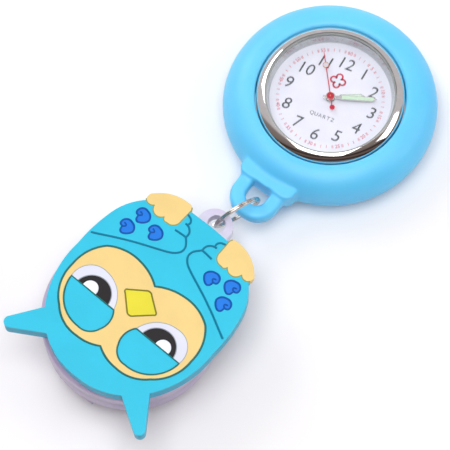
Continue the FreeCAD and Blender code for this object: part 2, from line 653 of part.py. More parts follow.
wheel("hour_wheel", [
    disc(0.7, 7.5, 8.98, CENTRE),
    gear(40, 0.1, 7.5, 7.7, CENTRE, mesh_phase(10, 0.0, 40, MINUTE, CENTRE))], disc(0.48, 7, 10, CENTRE))

# Plates that carry the train
bore = PIVOT + 0.03
main_plate = turned("plate_blank", [
    (0, 6.2), (dim("plate_radius"), 6.2), (dim("plate_radius"), 8.0), (5.0, 8.0), (5.0, 7.0), (0, 7.0)])
plate_tools = [cylinder("centre_bore", 0.47, 3, 0, 0, 5.5)]
for name, spot in (("third", THIRD), ("fifth", FIFTH), ("rotor", ROTOR), ("minute", MINUTE)):
    plate_tools.append(cylinder(name + "_bore", bore, 3, spot.x, spot.y, 5.5))
keep(cut("main_plate", main_plate, plate_tools), "main_plate", DIAL)
bridge_tools = []
for name, spot in (("third", THIRD), ("fifth", FIFTH), ("rotor", ROTOR), ("fourth", CENTRE)):
    bridge_tools.append(cylinder(name + "_pivot_hole", bore, 2, spot.x, spot.y, 2.5))
keep(cut("train_bridge", cylinder("bridge_disc", 5.2, 0.5, 1.0, 2.2, 3.3), bridge_tools),
     "train_bridge", DIAL)

# Electric side: stator, coil, board and battery
STATOR_ROUND = 1.6
stator_plate = prism("stator_plate", [[
    (ROTOR.x - STATOR_ROUND, ROTOR.y, ROTOR.x, ROTOR.y - STATOR_ROUND), (2.0, 4.5), (-3.2, 5.4), (-3.2, 8.0),
    (-2.1, 8.0), (-2.1, 6.4), (3.2, 5.45), (4.35, 5.5), (4.35, 8.0), (5.3, 8.0), (5.7, 5.0),
    (ROTOR.x + STATOR_ROUND, ROTOR.y)]], 4.2, 0.3)
keep(cut("stator", stator_plate, [cylinder("rotor_hole", 0.95, 1, ROTOR.x, ROTOR.y, 4)]),
     "stator", DIAL)
keep(group("coil_core", [box("core_bar", 8.5, 0.5, 0.5, -3.2, 7.2, 4.5)]), "coil_core", DIAL)
coil_round = cylinder("coil_round", 0.85, 6.0, -1.9, 7.45, 5.0, V(1, 0, 0))
coil_way = box("coil_way", 6.4, 0.5, 0.5, -2.1, 7.2, 4.5)
keep(cut("coil", coil_round, [coil_way]), "coil", DIAL)
keep(group("circuit_board", [box("board", 4.9, 4.4, 0.3, 1.3, -7.6, 3.9)]), "circuit_board", DIAL)
crystal = cylinder("crystal_can", 0.75, 4.2, 1.6, -6.5, 4.98, V(1, 0, 0))
keep(group("quartz_crystal", [crystal]), "quartz_crystal", DIAL)
keep(group("chip", [box("chip_block", 1.8, 1.6, 0.6, 2.6, -5.0, 4.22)]), "chip", DIAL)
keep(turned("battery", [(0, 3.2), (2.6, 3.2), (2.6, 3.35), (3.4, 3.35), (3.4, 5.35), (0, 5.35)]),
     "battery", DIAL.multiply(at(-4.2, -5.0)))
keep(prism("battery_clamp", [[(-7.4, -5.7), (-1.2, -5.7), (0.2, -5.0), (0.2, -4.2), (-7.4, -4.2)]], 2.95,
           0.2), "battery_clamp", DIAL)

# Setting parts: the crown hides in the silicone pocket at 3 o'clock
keep(group("setting_lever", [box("lever_block", 1.6, 2.4, 0.4, 6.8, -2.2, 4.2)]), "setting_lever", DIAL)
keep(turned("stem", [(0, 0), (0.3, 0), (0.45, 0.3), (0.45, 9.6), (0, 9.6)]), "stem",
     DIAL.multiply(FreeCAD.Placement(V(6.9, 0, plain(stem_z)), FreeCAD.Rotation(V(0, 0, 1), V(1, 0, 0)))))
CROWN_TEETH = 24
crown_points = []
for tooth in range(CROWN_TEETH * 2):
    angle = math.pi * tooth / CROWN_TEETH
    radius = 1.6 if tooth % 2 == 0 else 1.45
    crown_points.append(V(radius * math.cos(angle), radius * math.sin(angle), 0))
crown = Part.Face(Part.makePolygon(crown_points + crown_points[:1])).extrude(V(0, 0, 1.4))
keep(shaped("crown", crown), "crown",
     DIAL.multiply(FreeCAD.Placement(V(16.5, 0, plain(stem_z)), FreeCAD.Rotation(V(0, 0, 1), V(1, 0, 0)))))


# Hands, each drawn pointing to 12 and then turned clockwise to its hour
def hand(label, loops, low, thick, hub, hole, alias):
    blade = prism(label + "_blade", loops, low, thick)
    boss = cylinder(label + "_boss", hub, thick, 0, 0, low)
    solid = fused(label + "_solid", [blade, boss])
    turn = FreeCAD.Placement(V(0, 0, 0), FreeCAD.Rotation(V(0, 0, 1), -plain(dim(alias))))
    if hole:
        solid = cut(label, solid, [cylinder(label + "_hole", hole, 3, 0, 0, low - 1)])
    keep(solid, label, DIAL.multiply(turn))


hand("hour_hand", [[(-0.3, -1.4), (0.3, -1.4), (0.62, 1.6), (0.55, 6.2), (0, 7.0), (-0.55, 6.2),
                    (-0.62, 1.6)]], 8.8, 0.18, 1.0, 0.7, "hour_angle")
hand("minute_hand", [[(-0.28, -1.6), (0.28, -1.6), (0.55, 1.8), (0.48, 8.6), (0, 9.4), (-0.48, 8.6),
                      (-0.55, 1.8)]], 9.15, 0.18, 0.8, 0.42, "minute_angle")
LOLLIPOP = 6.9
hand("second_hand", [
    [(-0.12, -2.6), (0.12, -2.6), (0.12, LOLLIPOP - 0.7), (0.12, LOLLIPOP + 0.7, 0.72, LOLLIPOP),
     (0.06, 9.9), (-0.06, 9.9), (-0.12, LOLLIPOP + 0.7), (-0.12, LOLLIPOP - 0.7, -0.72, LOLLIPOP)]],
    9.55, 0.15, 0.75, PIVOT, "second_angle")

# ---------------------------------------------------------------------------
# Recompute, check and write one STEP file per sub-part
# ---------------------------------------------------------------------------
doc.recompute()
faults = [f"{obj.Name} {obj.State}" for obj in doc.Objects
          if "Invalid" in obj.State or "Error" in obj.State]
for part in parts:
    if part.Shape.isNull() or not part.Shape.isValid() or part.Shape.Volume <= 0:
        faults.append(f"{part.Label}: shape")
if faults:
    raise SystemExit("faults: " + "; ".join(faults))
os.makedirs("parts", exist_ok=True)
for part in parts:
    part.Shape.exportStep(f"parts/{part.Label}.step")
    extent = part.Shape.BoundBox
    print(f"{part.Label:18s} {part.Shape.Volume:9.3f} solids {len(part.Shape.Solids)}"
          f" x {extent.XMin:.2f} {extent.XMax:.2f} y {extent.YMin:.2f} {extent.YMax:.2f}"
          f" z {extent.ZMin:.2f} {extent.ZMax:.2f}")
print(len(parts), "parts")
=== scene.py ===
import math
import bmesh
import bpy
from mathutils import Matrix, Vector


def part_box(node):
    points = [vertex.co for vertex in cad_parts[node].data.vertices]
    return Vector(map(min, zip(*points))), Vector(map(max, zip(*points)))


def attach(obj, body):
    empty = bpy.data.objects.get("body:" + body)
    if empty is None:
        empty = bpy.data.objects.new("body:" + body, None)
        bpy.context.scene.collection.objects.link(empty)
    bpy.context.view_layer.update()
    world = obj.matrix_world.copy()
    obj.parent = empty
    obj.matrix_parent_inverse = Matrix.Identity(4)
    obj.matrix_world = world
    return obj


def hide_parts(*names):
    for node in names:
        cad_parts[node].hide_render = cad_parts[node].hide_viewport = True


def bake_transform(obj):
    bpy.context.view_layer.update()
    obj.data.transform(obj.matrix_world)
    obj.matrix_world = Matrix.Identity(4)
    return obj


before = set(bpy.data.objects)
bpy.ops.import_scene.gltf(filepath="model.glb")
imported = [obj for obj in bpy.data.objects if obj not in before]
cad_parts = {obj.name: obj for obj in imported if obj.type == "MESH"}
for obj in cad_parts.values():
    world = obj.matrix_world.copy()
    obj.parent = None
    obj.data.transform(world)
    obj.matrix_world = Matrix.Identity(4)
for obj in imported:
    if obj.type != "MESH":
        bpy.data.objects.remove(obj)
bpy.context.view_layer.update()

# Camera: a long lens high over the clip side, looking down past the badge to the watch,
# rolled a few degrees as the object was laid down.
CAMERA_TARGET = Vector((-0.001518, 0.005308, 0.008))
CAMERA_DISTANCE = 0.486646
CAMERA_AZIMUTH = 3.90193842
CAMERA_ELEVATION = 1.20620382
CAMERA_ROLL = -0.0533415599
camera_data = bpy.data.cameras.new("camera")
camera_data.lens = 197.0
camera_data.sensor_width = 36.0
camera_data.clip_start = 0.01
camera = bpy.data.objects.new("camera", camera_data)
bpy.context.scene.collection.objects.link(camera)
forward = Vector((-math.sin(CAMERA_AZIMUTH) * math.cos(CAMERA_ELEVATION),
                  math.cos(CAMERA_AZIMUTH) * math.cos(CAMERA_ELEVATION), -math.sin(CAMERA_ELEVATION)))
level = Vector((math.cos(CAMERA_AZIMUTH), math.sin(CAMERA_AZIMUTH), 0))
upward = level.cross(forward)
right = level * math.cos(CAMERA_ROLL) + upward * math.sin(CAMERA_ROLL)
upward = upward * math.cos(CAMERA_ROLL) - level * math.sin(CAMERA_ROLL)
turned_to = Matrix((right, upward, -forward)).transposed().to_4x4()
camera.matrix_world = Matrix.Translation(CAMERA_TARGET - forward * CAMERA_DISTANCE) @ turned_to
bpy.context.scene.camera = camera

# Studio: a white sweep under a large soft overhead light, with a weaker one from each side. The
# sky is pale behind the watch and brown with dark bands on the reel's side, for bright metal.
REEL_SIDE = (-0.33, 0.345, -0.15)
SKY_SHADES = ((0.0, (0.96, 0.92, 0.97)), (0.38, (0.95, 0.90, 0.93)), (0.44, (0.40, 0.33, 0.31)),
              (0.60, (0.32, 0.25, 0.23)), (0.67, (0.03, 0.02, 0.02)), (0.75, (0.26, 0.18, 0.16)),
              (0.83, (0.03, 0.02, 0.02)), (1.0, (0.60, 0.60, 0.66)))
world = bpy.data.worlds.new("studio")
bpy.context.scene.world = world
world.use_nodes = True
sky = world.node_tree
heading = sky.nodes.new("ShaderNodeTexCoord")
toward_reel = sky.nodes.new("ShaderNodeVectorMath")
toward_reel.operation = "DOT_PRODUCT"
toward_reel.inputs[1].default_value = REEL_SIDE
share = sky.nodes.new("ShaderNodeMath")
share.inputs[1].default_value = 0.5
shades = sky.nodes.new("ShaderNodeValToRGB")
sky.links.new(heading.outputs["Generated"], toward_reel.inputs[0])
sky.links.new(toward_reel.outputs["Value"], share.inputs[0])
sky.links.new(share.outputs["Value"], shades.inputs["Fac"])
sky.links.new(shades.outputs["Color"], sky.nodes["Background"].inputs["Color"])
stops = shades.color_ramp.elements
for place, shade in SKY_SHADES:
    stop = stops[-1] if place == 1.0 else stops[0] if place == 0.0 else stops.new(place)
    stop.color = (*shade, 1)
sky.nodes["Background"].inputs["Strength"].default_value = 0.6
bpy.context.scene.view_settings.view_transform = "Standard"
for name, place, size, power in (("overhead", (-0.05, 0.1, 0.7), 0.5, 3.2),
                                 ("left_bank", (0.55, -0.1, 0.45), 0.35, 1.2),
                                 ("right_bank", (-0.5, -0.35, 0.4), 0.35, 1.0)):
    lamp = bpy.data.lights.new(name, "AREA")
    lamp.energy = power
    lamp.size = size
    light = bpy.data.objects.new(name, lamp)
    bpy.context.scene.collection.objects.link(light)
    light.location = place
    light.rotation_euler = (Vector(place) - CAMERA_TARGET).to_track_quat("Z", "Y").to_euler()
sheet = bmesh.new()
bmesh.ops.create_grid(sheet, x_segments=1, y_segments=1, size=1.5)
floor_mesh = bpy.data.meshes.new("floor")
sheet.to_mesh(floor_mesh)
sheet.free()
floor = bpy.data.objects.new("floor", floor_mesh)
bpy.context.scene.collection.objects.link(floor)
floor_paint = bpy.data.materials.new("floor")
floor_paint.use_nodes = True
floor_paint.node_tree.nodes["Principled BSDF"].inputs["Base Color"].default_value = (0.93, 0.93, 0.94, 1)
floor_paint.node_tree.nodes["Principled BSDF"].inputs["Roughness"].default_value = 0.8
floor_mesh.materials.append(floor_paint)

# ---- Back shell of the reel --------------------------------------------------------------------
# Half of the badge reel's case, injection moulded in frosted lilac polypropylene, with the post
# that the spool turns on and two ears that hold the clip's pin.
MM = 0.001
SHARP_ANGLE = 0.6


class Tone:
    """A number that varies over a surface, written as plain arithmetic."""

    def __init__(self, finish, socket):
        self.finish = finish
        self.socket = socket

    def sum_of(self, kind, first, second):
        return self.finish.node("ShaderNodeMath", {"operation": kind}, {0: first, 1: second})

    def __add__(self, other):
        return self.sum_of("ADD", self, other)

    def __sub__(self, other):
        return self.sum_of("SUBTRACT", self, other)

    def __rsub__(self, other):
        return self.sum_of("SUBTRACT", other, self)

    def __mul__(self, other):
        return self.sum_of("MULTIPLY", self, other)

    def __gt__(self, other):
        return self.sum_of("GREATER_THAN", self, other)

    __radd__ = __add__
    __rmul__ = __mul__


class Finish:
    """A material: constants on its shader, and nodes for what changes over the surface."""

    def __init__(self, name, constants):
        self.material = bpy.data.materials.new(name)
        self.material.use_nodes = True
        self.tree = self.material.node_tree
        self.shader = self.tree.nodes["Principled BSDF"]
        for socket, value in constants.items():
            self.shader.inputs[socket].default_value = value

    def node(self, kind, settings, values, out=0):
        made = self.tree.nodes.new(kind)
        for key, value in settings.items():
            if key == "stops":
                for number, (place, shade) in enumerate(value):
                    stops = made.color_ramp.elements
                    stop = stops[number] if number < len(stops) else stops.new(place)
                    stop.position = place
                    stop.color = (*shade, 1)
            else:
                setattr(made, key, value)
        for key, value in values.items():
            if isinstance(value, Tone):
                self.tree.links.new(value.socket, made.inputs[key])
            else:
                made.inputs[key].default_value = value
        return Tone(self, made.outputs[out])

    def place(self):
        return self.node("ShaderNodeTexCoord", {}, {}, "Object")

    def height(self):
        return self.node("ShaderNodeSeparateXYZ", {}, {"Vector": self.place()}, "Z")

    def grain(self, scale, detail=3.0):
        return self.node("ShaderNodeTexNoise", {}, {"Vector": self.place(), "Scale": scale, "Detail": detail})

    def ramp(self, tone, stops):
        return self.node("ShaderNodeValToRGB", {"stops": stops}, {"Fac": tone})

    def blend(self, tone, first, second):
        return self.node("ShaderNodeMix", {"data_type": "RGBA"}, {"Factor": tone, 6: first, 7: second}, 2)

    def feed(self, socket, tone):
        self.tree.links.new(tone.socket, self.shader.inputs[socket])

    def bump(self, tone, strength, depth):
        self.feed("Normal", self.node("ShaderNodeBump", {}, {
            "Strength": strength, "Distance": depth, "Height": tone}))


def copied(node):
    """A merged copy of a CAD piece's mesh, in millimetres."""
    form = bmesh.new()
    form.from_mesh(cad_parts[node].data)
    bmesh.ops.scale(form, vec=(1 / MM, 1 / MM, 1 / MM), verts=form.verts)
    bmesh.ops.remove_doubles(form, verts=form.verts, dist=0.002)
    bmesh.ops.dissolve_limit(form, angle_limit=math.radians(1), verts=form.verts, edges=form.edges)
    return form


def eased(form, size, steps, wanted=lambda edge: True):
    """Round the sharp edges that are wanted, as a mould leaves them."""
    sharp = [edge for edge in form.edges
             if len(edge.link_faces) == 2 and edge.calc_face_angle(0) > SHARP_ANGLE and wanted(edge)]
    bmesh.ops.bevel(form, geom=sharp, offset=size, offset_type="OFFSET", affect="EDGES", segments=steps,
                    profile=0.5, material=-1, clamp_overlap=True)


def finished(form, name, body, material, stands_for=(), crease=40):
    """Turn a form in millimetres into a piece of the object that rides on a body."""
    bmesh.ops.scale(form, vec=(MM, MM, MM), verts=form.verts)
    mesh = bpy.data.meshes.new(name)
    form.to_mesh(mesh)
    form.free()
    mesh.shade_smooth()
    mesh.set_sharp_from_angle(angle=math.radians(crease))
    mesh.materials.append(material)
    piece = bpy.data.objects.new(name, mesh)
    bpy.context.scene.collection.objects.link(piece)
    if body is not None:
        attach(piece, body)
    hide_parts(*stands_for)
    return piece


def frosted(name, pale, deep, clear):
    """Frosted polypropylene: a soft milky gloss with faint flow marks."""
    finish = Finish(name, {"Roughness": 0.3, "Transmission Weight": clear, "IOR": 1.49,
                           "Coat Weight": 0.25, "Coat Roughness": 0.12})
    flow = finish.grain(160, 4)
    finish.feed("Base Color", finish.ramp(flow, ((0.35, deep), (0.65, pale))))
    finish.bump(finish.grain(2600), 0.12, 0.00004)
    return finish.material


LILAC_PALE = (0.70, 0.60, 0.82)
LILAC_DEEP = (0.60, 0.50, 0.74)
reel_plastic = frosted("frosted_lilac", LILAC_PALE, LILAC_DEEP, 0.35)
shell = copied("back_shell")
eased(shell, size=0.15, steps=2)
finished(shell, "reel_back", "reel", reel_plastic, ["back_shell"])

# ---- Spool, cord and spring --------------------------------------------------------------------
# The spool is a white moulded wheel that turns on the post. The braided nylon cord is wound in its
# groove, and a flat steel spring, coiled in its hollow hub, winds the cord back in.


def plain_finish(name, pale, deep, constants, scale, bump):
    """A surface with faint colour change and grain, for the pieces that keep their CAD shape."""
    finish = Finish(name, constants)
    finish.feed("Base Color", finish.ramp(finish.grain(scale, 4), ((0.3, deep), (0.7, pale))))
    finish.bump(finish.grain(scale * 9), 0.15, bump)
    return finish.material


def kept(node, material):
    """A CAD piece that keeps its shape takes a finish."""
    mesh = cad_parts[node].data
    mesh.materials.clear()
    mesh.materials.append(material)


white_moulding = plain_finish("white_moulding", (0.86, 0.86, 0.85), (0.8, 0.8, 0.79), {"Roughness": 0.42},
                              220, 0.00003)
kept("spool", white_moulding)


def braided(name, thread_scale):
    """Braided cord: two sets of threads crossing on the slant."""
    finish = Finish(name, {"Roughness": 0.75, "Sheen Weight": 0.3})
    turned = finish.node("ShaderNodeMapping", {}, {"Vector": finish.place(), "Rotation": (0, 0, 0.7)})
    one = finish.node("ShaderNodeTexWave", {"bands_direction": "DIAGONAL"}, {
        "Vector": finish.place(), "Scale": thread_scale, "Distortion": 0.4})
    two = finish.node("ShaderNodeTexWave", {"bands_direction": "X"}, {
        "Vector": turned, "Scale": thread_scale})
    weave = one * two
    finish.feed("Base Color", finish.ramp(weave, ((0.1, (0.012, 0.012, 0.014)), (0.9, (0.07, 0.07, 0.08)))))
    finish.bump(weave, 0.5, 0.00008)
    return finish.material


black_braid = braided("black_braid", 900)
kept("wound_cord", black_braid)
kept("cord_end", black_braid)


def drawn_steel(name, pale, deep, rough):
    """Bright steel with fine drawing marks."""
    finish = Finish(name, {"Metallic": 1.0})
    marks = finish.node("ShaderNodeMapping", {}, {"Vector": finish.place(), "Scale": (1, 8, 8)})
    noise = finish.node("ShaderNodeTexNoise", {}, {"Vector": marks, "Scale": 500.0, "Detail": 3.0})
    finish.feed("Base Color", finish.ramp(noise, ((0.3, deep), (0.7, pale))))
    finish.feed("Roughness", noise * 0.12 + rough)
    finish.bump(noise, 0.1, 0.00002)
    return finish.material


bright_steel = drawn_steel("bright_steel", (0.75, 0.73, 0.71), (0.6, 0.58, 0.56), 0.16)
for node in ("power_spring", "clip_spring", "clip_pin", "shell_screw"):
    kept(node, bright_steel)

# The cord's own end leaves the winding, turns through the mouth between the shells and is glued
# into the lug. It is one braided tube, which draws out between the reel and the lug.
CUT_ABOVE_LUG = 0.6
low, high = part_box("cord_end")
tail = copied("cord_tail")
lug_face = min(vert.co.y for vert in tail.verts)
bmesh.ops.bisect_plane(tail, geom=tail.verts[:] + tail.edges[:] + tail.faces[:], dist=0.0001,
                       plane_co=(0, lug_face + CUT_ABOVE_LUG, 0), plane_no=(0, 1, 0))
cord = finished(tail, "cord_out", None, black_braid, ["cord_tail"])
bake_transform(cord)

# ---- Front shell of the reel -------------------------------------------------------------------
# The front half, the same frosted moulding, pressed on over the post so that a seam shows round
# the middle. A foam tape pad sticks the owl to it.
shell = copied("front_shell")
eased(shell, size=0.15, steps=2)
finished(shell, "reel_front", "reel", reel_plastic, ["front_shell"])
kept("adhesive_pad", plain_finish("foam_tape", (0.9, 0.9, 0.88), (0.82, 0.82, 0.8), {"Roughness": 0.9},
                                  900, 0.00006))

# ---- Belt clip ---------------------------------------------------------------------------------
# A lever moulded in the same plastic, which pivots on a steel pin behind the reel. Squeezing its
# raised end towards the reel opens the hooked jaw at the other.
lever = copied("belt_clip")
eased(lever, size=0.25, steps=3)
finished(lever, "clip_lever", "clip", reel_plastic, ["belt_clip"])

# ---- Cord lug ----------------------------------------------------------------------------------
# The moulded end piece of the cord: a flat tab with a round end and a hole for the ring, with
# all its edges rounded.
tab = copied("cord_lug")
eased(tab, size=0.5, steps=4, wanted=lambda edge: abs(edge.verts[0].co.z - edge.verts[1].co.z) < 0.01)
finished(tab, "lug_tab", "pull_end",
         frosted("frosted_lug", (0.84, 0.80, 0.94), (0.76, 0.70, 0.88), 0.2), ["cord_lug"])

# ---- Owl badge ---------------------------------------------------------------------------------
# Soft PVC, poured colour by colour into an open mould and baked: a cyan plate, with fills for the
# face, eyelids, eyes, beak, feet and petals. Each fill is slightly crowned, with a line round it.
low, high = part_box("owl_body")
badge_top = high.z
PAINTED_SHADE_DEPTH = 0.45


def poured(name, top, side, satin=0.4):
    """Soft PVC: satin, faintly mottled, with painted shade: the wall below the top edge takes the darker side
    colour.
    """
    finish = Finish(name, {"Roughness": satin, "Specular IOR Level": 0.22, "Subsurface Weight": 0.08,
                           "Subsurface Scale": 0.0012})
    cloud = finish.grain(140, 4)
    face = finish.ramp(cloud, ((0.3, tuple(0.94 * part for part in top)), (0.7, top)))
    # Painted shade: more than this depth below the top, the wall takes the darker side colour.
    wall = finish.height() > badge_top - PAINTED_SHADE_DEPTH * MM
    finish.feed("Base Color", finish.blend(wall, (*side, 1), face))
    finish.feed("Roughness", cloud * 0.12 + (satin - 0.06))
    finish.bump(finish.grain(3200), 0.1, 0.00003)
    return finish.material


# The second colour of each fill is the painted shade on its wall.
cyan = poured("pvc_cyan", (0.03, 0.55, 0.77), (0.01, 0.40, 0.60))
peach = poured("pvc_peach", (0.86, 0.64, 0.25), (0.78, 0.56, 0.21))
fills = {
    "owl_body": ("badge_plate", "pvc_cyan", cyan, 0.62),
    "owl_face": ("badge_face", "pvc_peach", peach, 0.22),
    "owl_feet": ("badge_feet", "pvc_peach", peach, 0.32),
    "owl_eyelids": ("badge_eyelids", "pvc_cyan", cyan, 0.32),
    "owl_eye_whites": ("badge_eye_whites", "pvc_white",
                       poured("pvc_white", (0.74, 0.76, 0.87), (0.66, 0.68, 0.78)), 0.16),
    "owl_pupils": ("badge_pupils", "pvc_black",
                   poured("pvc_black", (0.012, 0.01, 0.012), (0.01, 0.01, 0.01), 0.45), 0.16),
    "owl_highlights": ("badge_highlights", "pvc_white",
                       poured("pvc_shine", (0.88, 0.91, 0.98), (0.8, 0.8, 0.85)), 0.16),
    "owl_beak": ("badge_beak", "pvc_yellow",
                 poured("pvc_yellow", (0.78, 0.70, 0.04), (0.7, 0.58, 0.03)), 0.32),
    "owl_petals": ("badge_petals", "pvc_blue",
                   poured("pvc_blue", (0.008, 0.20, 0.76), (0.0, 0.12, 0.55)), 0.3),
}
for node, (name, slot, material, crown) in fills.items():
    form = copied(node)
    eased(form, crown, 4, lambda edge: min(v.co.z for v in edge.verts) > badge_top / MM - 0.01)
    piece = finished(form, name, "reel", material, [node], crease=50)
    even = piece.modifiers.new("even", "WEIGHTED_NORMAL")
    even.keep_sharp = True

# The lines round the fills are a thin dark bead laid in the seam, each a darker tone of the fills beside it:
# painted shade for the shadow in the groove between fills.


def rim_loops(node):
    """The closed loops of points round the top of a flat fill."""
    form = copied(node)
    top = badge_top / MM - 0.01
    rims = [edge for edge in form.edges if min(v.co.z for v in edge.verts) > top
            and edge.calc_face_angle(0) > SHARP_ANGLE]
    loops = []
    left = set(rims)
    while left:
        edge = left.pop()
        loop = [edge.verts[0], edge.verts[1]]
        while True:
            onward = [e for e in loop[-1].link_edges if e in left]
            if not onward:
                break
            left.remove(onward[0])
            loop.append(onward[0].other_vert(loop[-1]))
        loops.append([vert.co.copy() for vert in loop[:-1]])
    form.free()
    return loops


def bead(name, runs, radius, closed, material, sink=0.0):
    """A round bead of one thickness along runs of points in millimetres."""
    curve = bpy.data.curves.new(name, "CURVE")
    curve.dimensions = "3D"
    curve.bevel_depth = radius
    curve.bevel_resolution = 2
    curve.use_fill_caps = True
    curve.resolution_u = 6
    for run in runs:
        line = curve.splines.new("POLY" if closed else "NURBS")
        line.points.add(len(run) - 1)
        for point, place in zip(line.points, run):
            point.co = (place[0], place[1], badge_top / MM - sink, 1)
        line.use_cyclic_u = closed
        if not closed:
            line.order_u = 3
            line.use_endpoint_u = True
    holder = bpy.data.objects.new(name, curve)
    bpy.context.scene.collection.objects.link(holder)
    bpy.context.view_layer.update()
    mesh = bpy.data.meshes.new_from_object(holder)
    bpy.data.objects.remove(holder)
    form = bmesh.new()
    form.from_mesh(mesh)
    bmesh.ops.remove_doubles(form, verts=form.verts, dist=0.0005)
    bmesh.ops.recalc_face_normals(form, faces=form.faces)
    return finished(form, name, "reel", material)


# The bead colours are painted shade: dark tones of the fills that stand for the shadow in their seams.
seam_shade_green = poured("pvc_seam_shade_green", (0.02, 0.16, 0.15), (0.02, 0.16, 0.15))
dark_blue_bead = poured("pvc_line_blue", (0.0, 0.09, 0.42), (0.0, 0.09, 0.42))
groove_shade_teal = poured("pvc_groove_shade_teal", (0.0, 0.20, 0.34), (0.0, 0.20, 0.34))
ink_grey = poured("pvc_seam_shade_grey", (0.33, 0.36, 0.42), (0.33, 0.36, 0.42))
seam_shade_olive = poured("pvc_seam_shade_olive", (0.22, 0.20, 0.02), (0.22, 0.20, 0.02))
seam_shade_foot = poured("pvc_seam_shade_foot", (0.30, 0.33, 0.10), (0.30, 0.33, 0.10))
face_loops = rim_loops("owl_face")
widest = max(face_loops, key=len)
bead("line_face", [widest], 0.28, True, seam_shade_green, 0.16)
bead("line_eyes", rim_loops("owl_eyelids"), 0.2, True, seam_shade_green, 0.1)
# A grey bead round the eye whites: painted shade in their seam.
bead("line_whites", [loop for loop in rim_loops("owl_eye_whites") if len(loop) > 8], 0.12, True,
     ink_grey, 0.1)
bead("line_beak", rim_loops("owl_beak"), 0.2, True, seam_shade_olive, 0.1)
# A dark blue bead round each petal: painted shade at its recessed rim.
bead("line_petals", rim_loops("owl_petals"), 0.24, True, dark_blue_bead, 0.1)

# The wing grooves are drawn on the plate with the same bead, thinner, in a dark teal that is painted shade
# for
# the groove: a shoulder line that curls into three finger feathers on each side. Points are from the badge's
# own zero, right side.
ZERO_ABOVE_MIDDLE = 4.02
low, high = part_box("owl_body")
badge_x = (low.x + high.x) / 2 / MM
badge_y = (low.y + high.y) / 2 / MM + ZERO_ABOVE_MIDDLE
WING_LINES = (
    ((16.9, -8.2), (15.2, -9.05), (12.7, -10.4), (10.3, -11.55), (8, -12.6), (4, -14.2), (1.9, -15.15),
     (0.9, -16.2), (0.65, -17.1), (1.0, -18.2), (2.1, -19.3)),
    ((2.1, -19.3), (3.1, -19.3), (4.7, -19.1)),
    ((2.1, -19.3), (2.0, -20.2), (2.6, -21.0), (3.5, -21.5), (4.0, -21.4)),
    ((3.5, -21.5), (3.3, -22.0), (3.6, -22.6), (4.2, -23.0), (4.85, -23.1)),
)
strokes = []
for side in (1, -1):
    for line in WING_LINES:
        strokes.append([(badge_x + side * x, badge_y + y) for x, y in line])
bead("line_wings", strokes, 0.24, False, groove_shade_teal, 0.06)
FOOT_INNER = 5.3
FOOT_HIGH = -20.6
foot_lines = []
for loop in rim_loops("owl_feet"):
    outside = [abs(point.x - badge_x) > FOOT_INNER and point.y < badge_y + FOOT_HIGH for point in loop]
    begin = next(i for i in range(len(loop)) if outside[i - 1] and not outside[i])
    run = loop[begin:] + loop[:begin]
    foot_lines.append(run[:len(loop) - sum(outside)])
# Where each foot meets the plate it gets a dark olive bead: painted shade in the seam.
bead("line_feet", foot_lines, 0.14, False, seam_shade_foot, 0.08)

# Each petal has a darker hook of the same bead inside its rim.
HOOK = ((0.6, 0.45), (0.05, 0.1), (0.05, -0.35), (0.7, -0.45))
hooks = []
for loop in rim_loops("owl_petals"):
    middle = sum((Vector(point) for point in loop), Vector()) / len(loop)
    side = 1 if middle.x > badge_x else -1
    hooks.append([(middle.x + side * x, middle.y + y) for x, y in HOOK])
bead("line_hooks", hooks, 0.17, False, dark_blue_bead, 0.02)

# ---- Split ring --------------------------------------------------------------------------------
# A spring-steel wire wound twice on itself, so that it can be threaded on like a key ring. It stands
# in the lug's hole and in the case's loop.
RING_HEADING = math.radians(18)
RING_LEAN = math.radians(8)
RING_MEAN = 4.95
RING_TURNS = math.radians(715)
RING_STEPS = 150
TURN_PITCH = 0.65
WIRE_WIDE = 0.6
WIRE_HIGH = 0.86
WIRE_SIDES = 14
low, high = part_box("split_ring")
wire = bmesh.new()
corners = []
for part in range(WIRE_SIDES):
    angle = math.tau * part / WIRE_SIDES
    corners.append(wire.verts.new((RING_MEAN + math.cos(angle) * WIRE_HIGH / 2, 0,
                                   math.sin(angle) * WIRE_WIDE / 2 - TURN_PITCH / 2)))
section = wire.faces.new(corners)
bmesh.ops.spin(wire, geom=[section], cent=(0, 0, 0), axis=(0, 0, 1), dvec=(0, 0, TURN_PITCH / RING_STEPS),
               angle=RING_TURNS, steps=RING_STEPS, use_merge=False, use_duplicate=False)
bmesh.ops.recalc_face_normals(wire, faces=wire.faces)
ring_level = Vector((math.cos(RING_HEADING), -math.sin(RING_HEADING), 0))
ring_axis = ring_level * math.cos(RING_LEAN) + Vector((0, 0, 1)) * math.sin(RING_LEAN)
stand = Matrix.Translation((low + high) / 2 / MM) @ ring_axis.to_track_quat("Z", "Y").to_matrix().to_4x4()
bmesh.ops.transform(wire, matrix=stand, verts=wire.verts)
finished(wire, "key_ring", "ring",
         drawn_steel("ring_steel", (0.72, 0.68, 0.64), (0.5, 0.46, 0.43), 0.14), ["split_ring"])

